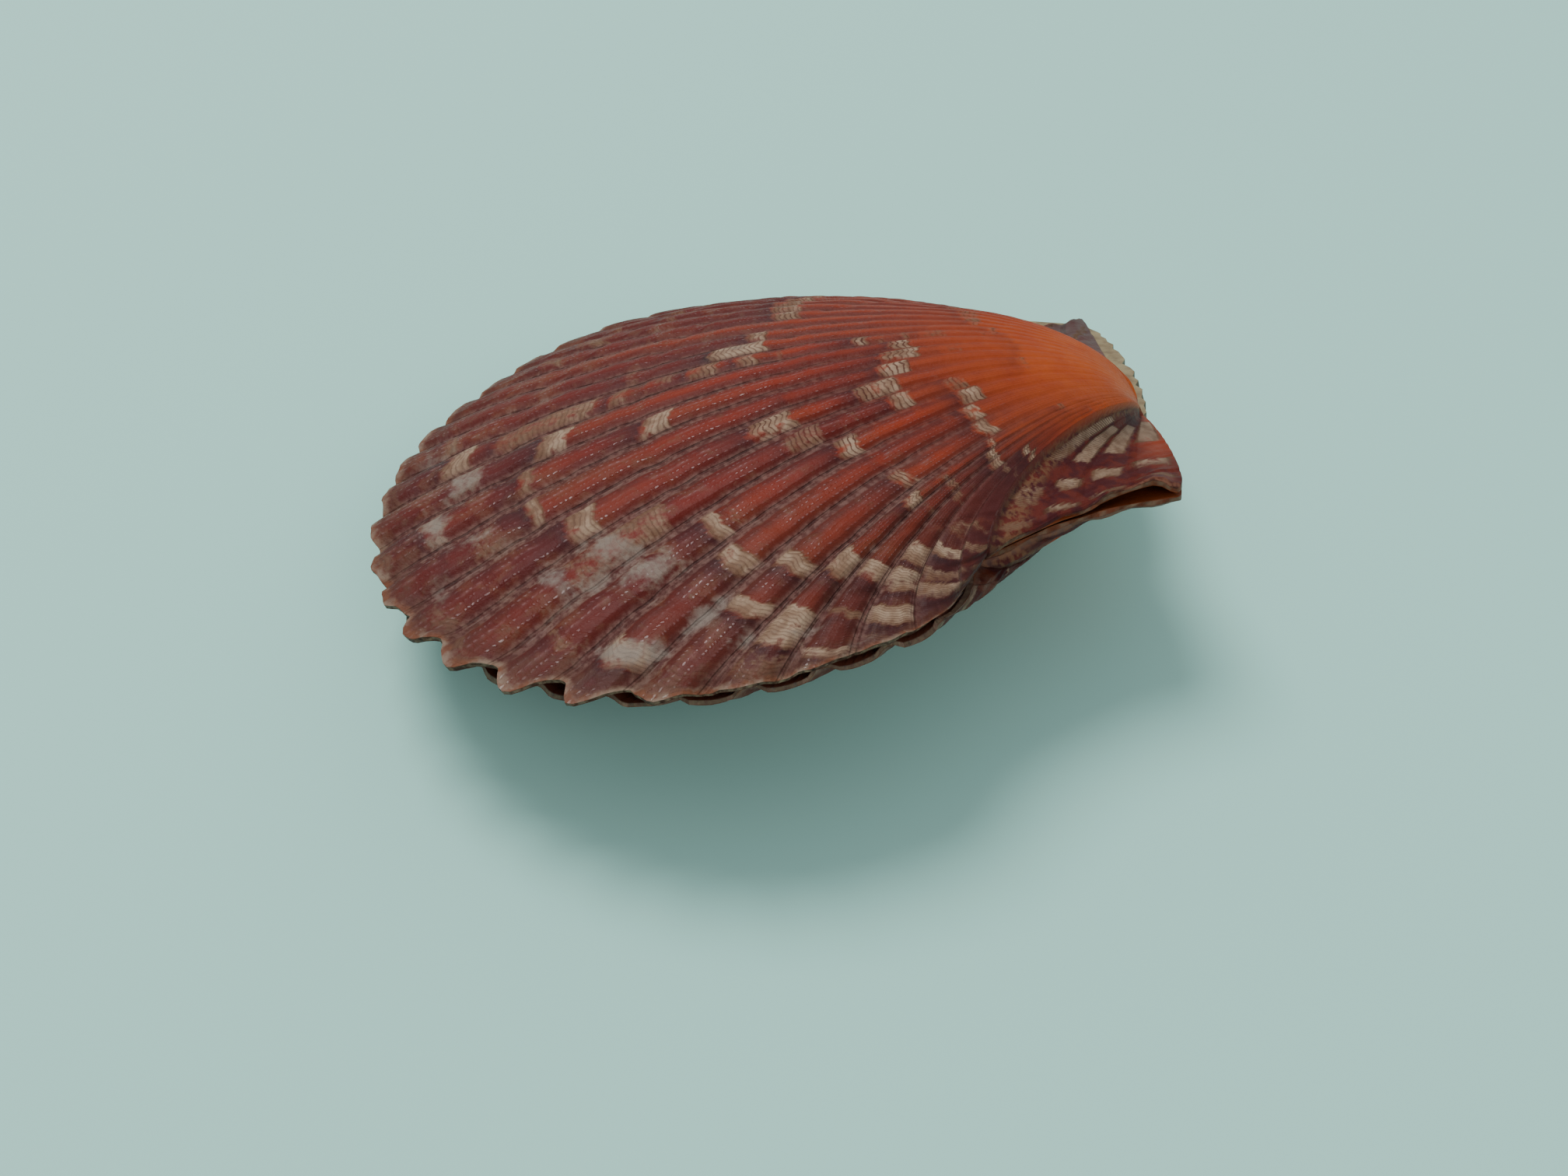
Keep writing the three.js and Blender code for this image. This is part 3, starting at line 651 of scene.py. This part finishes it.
# The red ground by age, from the orange beak to the maroon margin, and what changes it.
GROUND = ((0.0, (0.46, 0.090, 0.012)), (0.22, (0.34, 0.050, 0.009)),
          (0.42, (0.25, 0.024, 0.006)), (0.70, (0.150, 0.013, 0.007)),
          (0.97, (0.092, 0.010, 0.007)))
WARM_RED = 0.215, 0.033, 0.010
COLD_RED = 0.062, 0.006, 0.007
FLANK_MAROON = 0.042, 0.012, 0.012
# painted sheen: mauve on the anterior slope of each rib
MAUVE_SHEEN = 0.062, 0.012, 0.011
# painted shade on the posterior slope of each rib
PAINTED_SHADE_RED = 0.070, 0.007, 0.005
RUST = 0.155, 0.030, 0.010
STREAK_BROWN = 0.135, 0.060, 0.032
TAWNY = 0.13, 0.062, 0.036

# Patches, grooves, what wear and dust have left, and painted shade, highlight and glints.
OLD_CREAM = 0.165, 0.090, 0.052
LAMELLA_BROWN = 0.062, 0.020, 0.011
BLOTCH = 0.024, 0.009, 0.011
GROOVE_BROWN = 0.082, 0.030, 0.025
GROOVE_GREY = 0.180, 0.098, 0.080
# painted shade in the crease beside each groove
CREASE_SHADE = 0.022, 0.008, 0.008
THREAD_GREY = 0.22, 0.16, 0.14
MOTTLE_TAN = 0.165, 0.100, 0.062
# painted highlight along the crests of the ribs
PAINTED_CREST_HIGHLIGHT = 0.26, 0.120, 0.115
# painted glints on the tips of the scales
PAINTED_GLINT_PINK = 0.33, 0.19, 0.19
DUST_GREY = 0.250, 0.215, 0.180
EDGE_PALE = 0.26, 0.185, 0.130
EDGE_RUST = 0.180, 0.062, 0.028

# Ears, lips and the smooth lining.
EAR_MAROON = 0.058, 0.009, 0.010
EAR_RED = 0.105, 0.016, 0.010
HINGE_RED = 0.25, 0.036, 0.010
EAR_TAN = 0.17, 0.085, 0.040
# painted shade where an ear leaves the disc
EAR_SHADE = 0.030, 0.010, 0.008
EAR_RIM = 0.24, 0.105, 0.060
LIP_PALE = 0.25, 0.165, 0.105
EAR_LIP_RUST = 0.190, 0.045, 0.018
EAR_LIP_TAN = 0.235, 0.135, 0.085
LINING_PALE = 0.42, 0.31, 0.27
LINING_RUST = 0.080, 0.022, 0.012
EAR_LINING = 0.210, 0.046, 0.013
OLD_LINING = 0.115, 0.062, 0.035

# Rows of scales on a rib: how far off the crest, half width, and scales from beak to margin.
# Then the lamellae from beak to margin.
SCALE_ROWS = ((-0.20, 0.045, 139.0), (-0.06, 0.040, 121.0), (0.08, 0.045, 148.0),
              (0.24, 0.045, 131.0))
LAMELLAE = 138.0


def scale_rows(paint, off, ring, jitter):
    """Masks of the cords along a rib and of the tiny scales on them."""
    cords = scales = 0.0
    for at, width, count in SCALE_ROWS:
        row = paint.fade(paint.work("ABSOLUTE", paint.work("SUBTRACT", off, at)), width, 0.0)
        beat = paint.work("FRACT", paint.plus(paint.times(ring, count), jitter))
        scale = paint.times(row, paint.fade(beat, 0.0, 0.7), paint.fade(beat, 1.0, 0.75))
        cords = paint.work("MAXIMUM", cords, row)
        scales = paint.work("MAXIMUM", scales, scale)
    return cords, scales


def valve_skin_group():
    """What both valves share. It takes the colours in which they differ, and puts out the
    shell's colour and roughness, the glint of its scales, and the height, in millimetres, of
    the relief that is too fine for the mesh."""
    group = bpy.data.node_groups.new("valve skin", "ShaderNodeTree")
    for name in ("Cream", "Rim", "Ear Edge"):
        group.interface.new_socket(name, in_out="INPUT", socket_type="NodeSocketColor")
    group.interface.new_socket("Colour", in_out="OUTPUT", socket_type="NodeSocketColor")
    for name in ("Roughness", "Glint", "Height"):
        group.interface.new_socket(name, in_out="OUTPUT", socket_type="NodeSocketFloat")
    given = group.nodes.new("NodeGroupInput").outputs
    result = group.nodes.new("NodeGroupOutput").inputs
    paint = Paint(group)
    fade, times, plus, mix, around = paint.fade, paint.times, paint.plus, paint.mix, paint.around
    place = group.nodes.new("ShaderNodeTexCoord").outputs["Object"]
    number, grown, ribbed, ear, ring, patch, dark, warm, bloom, inside = (
        paint.read(name) for name in FIELDS)
    coarse, middling = paint.grain(place, 260.0), paint.grain(place, 700.0)
    fine, minute = paint.grain(place, 1800.0), paint.grain(place, 6000.0, 2.0)
    off = paint.work("SUBTRACT", number, paint.work("ROUND", number))
    aside, far = paint.work("ABSOLUTE", off), paint.work("ABSOLUTE", number)

    # rows of tiny scales along the ribs, with painted glints on their tips, which also get a
    # glossy coat
    cords, scales = scale_rows(paint, off, ring, times(middling, 3.0))
    glint_zone = times(ribbed, fade(grown, 0.22, 0.5), fade(coarse, 0.36, 0.56, 0.1, 1.0),
                 fade(patch, 0.6, 0.2))
    glinting_tips = times(fade(scales, 0.3, 0.8), glint_zone, fade(fine, 0.38, 0.58))

    # red ground, ageing from the beak to the margin, and warming up before each patch
    age = plus(grown, around(coarse, 0.24), around(middling, 0.16))
    heat = times(fade(warm, 0.4, 1.0), fade(grown, 0.15, 0.35), fade(grown, 1.0, 0.6, 0.15, 0.6),
                 fade(number, 5.0, 9.0, 1.0, 0.6))
    colour = mix(heat, paint.ramp(age, GROUND), WARM_RED)
    cool = times(fade(warm, 0.6, 0.0), fade(grown, 0.2, 0.5, 0.0, 0.6))
    colour = mix(cool, colour, COLD_RED)
    flank = times(fade(far, 8.6, 12.4), fade(grown, 0.22, 0.5, 0.0, 0.75))
    colour = mix(flank, colour, FLANK_MAROON)

    # painted sheen in mauve on the anterior side of each rib and painted shade on the other, with
    # rust and brown streaks
    mauve_sheen = times(fade(off, 0.02, -0.24), ribbed, fade(grown, 0.2, 0.45, 0.05, 0.72),
                  fade(middling, 0.3, 0.6, 0.55, 1.0), fade(number, -6.0, 1.0, 0.5, 1.0))
    colour = mix(mauve_sheen, colour, MAUVE_SHEEN)
    # painted shade on the posterior slope of each rib
    painted_shade = times(fade(off, 0.10, 0.34), ribbed, fade(grown, 0.22, 0.45, 0.0, 0.65))
    colour = mix(painted_shade, colour, PAINTED_SHADE_RED)
    rust = times(fade(plus(coarse, around(middling, 0.5)), 0.46, 0.66),
                 fade(grown, 0.5, 0.8, 0.0, 0.55))
    colour = mix(rust, colour, RUST)
    streak = times(fade(middling, 0.55, 0.72), ribbed, fade(grown, 0.35, 0.6, 0.0, 0.35))
    colour = mix(streak, colour, STREAK_BROWN)
    colour = mix(times(ribbed, fade(number, 5.0, 9.0, 0.0, 0.16)), colour, TAWNY)

    # cream patches with brown lamellae, weaker and browner as they fade, and a dark blotch after
    wave = paint.work("FRACT", plus(times(ring, LAMELLAE), times(middling, 1.6)))
    line = times(fade(wave, 0.56, 0.74), fade(wave, 0.98, 0.88))
    cover = plus(times(patch, fade(middling, 0.2, 0.6, 0.5, 1.2)), around(fine, 0.8),
                 around(middling, 0.6), around(coarse, 0.7))
    mask = fade(cover, 0.20, 0.92)
    old = plus(times(fade(middling, 0.35, 0.65), 0.7), fade(patch, 1.0, 0.5, 0.0, 0.6))
    lines = times(line, fade(coarse, 0.3, 0.65, 0.4, 0.95), fade(grown, 0.45, 0.75, 1.0, 0.45))
    cream = mix(lines, mix(old, given["Cream"], OLD_CREAM), LAMELLA_BROWN)
    blotch = times(dark, fade(middling, 0.25, 0.55, 0.45, 1.0), 0.78)
    colour = mix(blotch, colour, BLOTCH)
    colour = mix(times(mask, 0.92), colour, cream)

    # grooves: grey-brown, with a line of painted shade beside a paler thread
    low = times(fade(aside, 0.31, 0.42), ribbed, fade(grown, 0.25, 0.6, 0.0, 0.75))
    colour = mix(low, colour, mix(fade(fine, 0.35, 0.65), GROOVE_BROWN, GROOVE_GREY))
    # painted shade along the crease on the posterior side of each groove; the same mask sinks the
    # relief there
    shaded_crease = times(fade(off, 0.40, 0.43), fade(off, 0.475, 0.45), ribbed, fade(grown, 0.3, 0.6))
    colour = mix(times(shaded_crease, fade(middling, 0.40, 0.6, 0.10, 0.6)), colour, CREASE_SHADE)
    thread = times(fade(aside, 0.485, 0.498), ribbed, fade(grown, 0.45, 0.8, 0.0, 0.5),
                   fade(middling, 0.45, 0.6))
    colour = mix(thread, colour, THREAD_GREY)

    # wear, dust and painted light: tan mottling by the margin, a painted highlight along the
    # crests, painted glints on the scales, grey-white dust spots
    mottle = times(fade(plus(coarse, around(fine, 0.35)), 0.52, 0.66),
                   fade(grown, 0.70, 0.90, 0.0, 0.20))
    colour = mix(mottle, colour, MOTTLE_TAN)
    # a painted highlight along each rib's crest
    crest = times(fade(paint.work("ABSOLUTE", plus(off, 0.05)), 0.07, 0.0), glint_zone,
                  fade(middling, 0.40, 0.62), 0.32, fade(number, -4.0, 1.0, 0.45, 1.0))
    colour = mix(crest, colour, PAINTED_CREST_HIGHLIGHT)
    # painted glints on the tips of the scales
    colour = mix(times(glinting_tips, 0.30), colour, PAINTED_GLINT_PINK)
    spots = plus(bloom, around(fine, 0.7), around(middling, 1.1), around(coarse, 0.5))
    stray = times(fade(plus(coarse, around(fine, 0.5)), 0.60, 0.80),
                  fade(aside, 0.15, 0.42, 0.2, 1.0), fade(grown, 0.55, 0.80, 0.0, 0.20))
    dust = paint.work("MAXIMUM", times(fade(spots, 0.22, 0.95), 0.7), stray)
    colour = mix(dust, colour, DUST_GREY)

    # the rim, and the worn edge
    late = plus(grown, around(fine, 0.06), around(middling, 0.10))
    colour = mix(fade(late, 0.945, 1.0, 0.0, 0.6), colour, given["Rim"])
    chalky = fade(plus(grown, around(fine, 0.014)), 0.986, 1.0, 0.0, 0.75)
    colour = mix(chalky, colour, mix(fade(middling, 0.38, 0.6), EDGE_PALE, EDGE_RUST))

    # ears: maroon with cream patches, warmer by the hinge, with painted shade where they leave
    # the disc
    ear_colour = mix(fade(middling, 0.4, 0.6), EAR_MAROON, EAR_RED)
    by_hinge = times(fade(far, 22.4, 23.3), fade(grown, 0.75, 0.4, 0.1, 0.9))
    ear_colour = mix(by_hinge, ear_colour, HINGE_RED)
    tan = times(fade(far, 20.4, 20.0), fade(fine, 0.4, 0.6), 0.7)
    ear_colour = mix(tan, ear_colour, EAR_TAN)
    old_edge = times(fade(number, -22.4, -23.6), fade(middling, 0.25, 0.6, 0.45, 0.95))
    ear_colour = mix(old_edge, ear_colour, given["Ear Edge"])
    ear_colour = mix(mask, ear_colour, cream)
    # painted shade where the ear leaves the disc
    foot = times(fade(far, 19.75, 19.50, 0.0, 0.5), fade(grown, 0.30, 0.50, 0.1, 1.0))
    ear_colour = mix(foot, ear_colour, EAR_SHADE)
    pale = fade(plus(grown, around(fine, 0.04)), 0.94, 0.99, 0.0, 0.6)
    ear_colour = mix(pale, ear_colour, mix(fade(fine, 0.38, 0.62), given["Rim"], EAR_RIM))
    colour = mix(ear, colour, ear_colour)

    # the lip, and the smooth inner skin: rust brown by the margin, then pale
    lip = mix(fade(fine, 0.35, 0.65), given["Rim"], LIP_PALE)
    ear_lip = mix(fade(middling, 0.35, 0.65), EAR_LIP_RUST, EAR_LIP_TAN)
    lip = mix(times(ear, fade(number, 19.0, 19.3)), lip, ear_lip)
    colour = mix(fade(inside, 0.02, 0.25), colour, lip)
    lining = mix(fade(grown, 0.82, 0.94), LINING_PALE, LINING_RUST)
    old_lining = mix(fade(middling, 0.3, 0.7, 0.0, 0.6), given["Ear Edge"], OLD_LINING)
    lining = mix(ear, lining, mix(fade(number, -19.0, -19.3), EAR_LINING, old_lining))
    colour = mix(fade(inside, 0.75, 0.98), colour, lining)
    group.links.new(colour, result["Colour"])

    # relief too fine for the mesh: cords with rows of scales, lamellae, grain, growth lines
    growth_lines = paint.work("FRACT", times(ring, LAMELLAE))
    height = plus(times(scales, glint_zone, 0.035), times(cords, ribbed, 0.01), times(wave, mask, 0.06),
                  times(minute, 0.02), times(fine, 0.06), times(low, fine, 0.12),
                  times(growth_lines, 0.018), times(shaded_crease, -0.08))
    group.links.new(height, result["Height"])
    gloss = plus(fade(mask, 0.0, 1.0, 0.50, 0.60), around(fine, 0.2), times(low, 0.2),
                 times(dust, 0.3))
    group.links.new(gloss, result["Roughness"])
    group.links.new(times(glinting_tips, 0.38), result["Glint"])
    return group


skin_group = valve_skin_group()


def start_finish(name):
    material = bpy.data.materials.new(name)
    material.use_nodes = True
    tree = material.node_tree
    return material, tree, tree.nodes["Principled BSDF"]


def roughen(tree, shader, height, distance):
    """Feeds a height to the shader as fine relief."""
    bump = tree.nodes.new("ShaderNodeBump")
    bump.inputs["Distance"].default_value = distance
    tree.links.new(height, bump.inputs["Height"])
    tree.links.new(bump.outputs["Normal"], shader.inputs["Normal"])


def valve_finish(name, cream, rim, ear_edge):
    """A valve's satin skin, with a faint gloss on the tips of its scales."""
    material, tree, shader = start_finish(name)
    skin = tree.nodes.new("ShaderNodeGroup")
    skin.node_tree = skin_group
    for socket, colour in (("Cream", cream), ("Rim", rim), ("Ear Edge", ear_edge)):
        skin.inputs[socket].default_value = (*colour, 1)
    tree.links.new(skin.outputs["Colour"], shader.inputs["Base Color"])
    tree.links.new(skin.outputs["Roughness"], shader.inputs["Roughness"])
    tree.links.new(skin.outputs["Glint"], shader.inputs["Coat Weight"])
    shader.inputs["Coat Roughness"].default_value = 0.2
    shader.inputs["Specular IOR Level"].default_value = 0.13
    roughen(tree, shader, skin.outputs["Height"], 0.001)
    return material


left_piece.data.materials.append(valve_finish(
    "left shell", cream=(0.39, 0.28, 0.19), rim=(0.078, 0.028, 0.017),
    ear_edge=(0.105, 0.068, 0.062)))


# Right valve: the lower half, flatter at its flanks. Its rib ends show under the left valve's
# margin, and its anterior ear has the notch where the byssus came out.
RIGHT = {"side": -1, "rate": 2.07, "flank": -0.75, "shift": 0.5, "dip": 0.05,
         "wave": 0.0035, "reach": 0.0, "back": 0.010, "mouth": 0.0}
PATCH_RINGS, RING_SHIFT, RING_DROOP = (0.24, 0.35, 0.53, 0.69, 0.86), 0.012, 0.0007
PATCH_CHANCE, PATCH_LENGTHS, PATCH_STRENGTHS, LAST_START = 0.75, (0.012, 0.06), (0.4, 1.0), 0.96


def grown_patches(seed):
    """Cream patches for ribs that the photo doesn't show: drooping rings, broken up."""
    draw = random.Random(seed)
    patches = {}
    for rib in range(FIRST_RIB - 1, LAST_RIB + 2):
        spans = []
        for ring in PATCH_RINGS:
            start = ring + RING_DROOP * (rib - 1) ** 2 * ring
            start += draw.uniform(-RING_SHIFT, RING_SHIFT)
            if draw.random() < PATCH_CHANCE and start < LAST_START:
                length = draw.uniform(*PATCH_LENGTHS) * ring
                spans.append((start, start + length, draw.uniform(*PATCH_STRENGTHS)))
        patches[rib] = spans
    return patches


right_piece = grow_valve("right_valve_shell", RIGHT, grown_patches(4), [])
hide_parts("right_valve")
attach(right_piece, "root")
right_piece.data.materials.append(valve_finish(
    "right shell", cream=(0.38, 0.27, 0.19), rim=(0.19, 0.105, 0.075),
    ear_edge=(0.30, 0.24, 0.13)))


# Ligament: the dried elastic strip along the hinge, dark brown and finely split along its
# length. It stays as the model has it, and only gets its finish.
DARK_FIBRE, PALE_FIBRE = (0.020, 0.010, 0.006), (0.085, 0.045, 0.022)
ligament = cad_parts["ligament"]
material, tree, shader = start_finish("dry ligament")
paint = Paint(tree)
place = tree.nodes.new("ShaderNodeTexCoord").outputs["Object"]
along_hinge = put(tree, "ShaderNodeMapping", place)
along_hinge.node.inputs["Scale"].default_value = (1.0, 0.12, 1.0)
fibre = paint.grain(along_hinge, 4000.0)
tree.links.new(paint.mix(fibre, DARK_FIBRE, PALE_FIBRE), shader.inputs["Base Color"])
roughen(tree, shader, fibre, 0.0002)
shader.inputs["Roughness"].default_value = 0.7
ligament.data.materials.clear()
ligament.data.materials.append(material)


# Floor, light and camera. A pale floor, one broad soft lamp above and behind on the left, a
# weaker one in front, and an even sky. The camera stands where the photo was taken from.
bm = bmesh.new()
bmesh.ops.create_grid(bm, x_segments=1, y_segments=1, size=3)
floor_mesh = bpy.data.meshes.new("floor")
bm.to_mesh(floor_mesh)
bm.free()
floor = bpy.data.objects.new("floor", floor_mesh)
bpy.context.scene.collection.objects.link(floor)
floor_finish, tree, shader = start_finish("floor paint")
shader.inputs["Base Color"].default_value = (0.41, 0.76, 0.665, 1)
shader.inputs["Roughness"].default_value = 0.8
floor_mesh.materials.append(floor_finish)


def soft_lamp(name, place, size, power, sheen):
    """A round lamp that faces the shell, with more or less of a shine on it."""
    lamp = bpy.data.lights.new(name, "AREA")
    lamp.specular_factor = sheen
    lamp.shape = "DISK"
    lamp.size = size
    lamp.energy = power
    holder = bpy.data.objects.new(name, lamp)
    bpy.context.scene.collection.objects.link(holder)
    holder.location = place
    holder.rotation_euler = (-Vector(place)).to_track_quat("-Z", "Y").to_euler()


soft_lamp("sky lamp", (-0.45, 0.65, 1.5), size=0.9, power=22.0, sheen=1.0)
soft_lamp("front lamp", (0.6, -1.5, 1.1), size=1.0, power=7.0, sheen=0.1)
world = bpy.data.worlds.new("even sky")
bpy.context.scene.world = world
world.use_nodes = True
world.node_tree.nodes["Background"].inputs["Color"].default_value = (0.9, 0.95, 1.0, 1)
world.node_tree.nodes["Background"].inputs["Strength"].default_value = 0.55

YAW, PITCH, TILT = math.radians(4.02), math.radians(39.16), math.radians(0.53)
FROM_HINGE = Vector((-34.615, -150.805, 101.39))
SENSOR_WIDTH, FOCAL_PIXELS, PHOTO_PIXELS = 36, 2370, 2016
camera = bpy.data.objects.new("camera", bpy.data.cameras.new("camera"))
bpy.context.scene.collection.objects.link(camera)
camera.data.sensor_width = SENSOR_WIDTH
camera.data.lens = SENSOR_WIDTH * FOCAL_PIXELS / PHOTO_PIXELS
camera.data.clip_start = 0.01
turned = Matrix.Rotation(-YAW, 3, "Z")
camera.location = (HINGE_MIDDLE + turned @ FROM_HINGE) * 0.001
look = turned @ Vector((0, math.cos(PITCH), -math.sin(PITCH)))
level = turned @ Vector((1, 0, 0))
upright = level.cross(look)
right = math.cos(TILT) * level + math.sin(TILT) * upright
up = math.cos(TILT) * upright - math.sin(TILT) * level
camera.rotation_euler = Matrix((right, up, -look)).transposed().to_euler()
bpy.context.scene.camera = camera
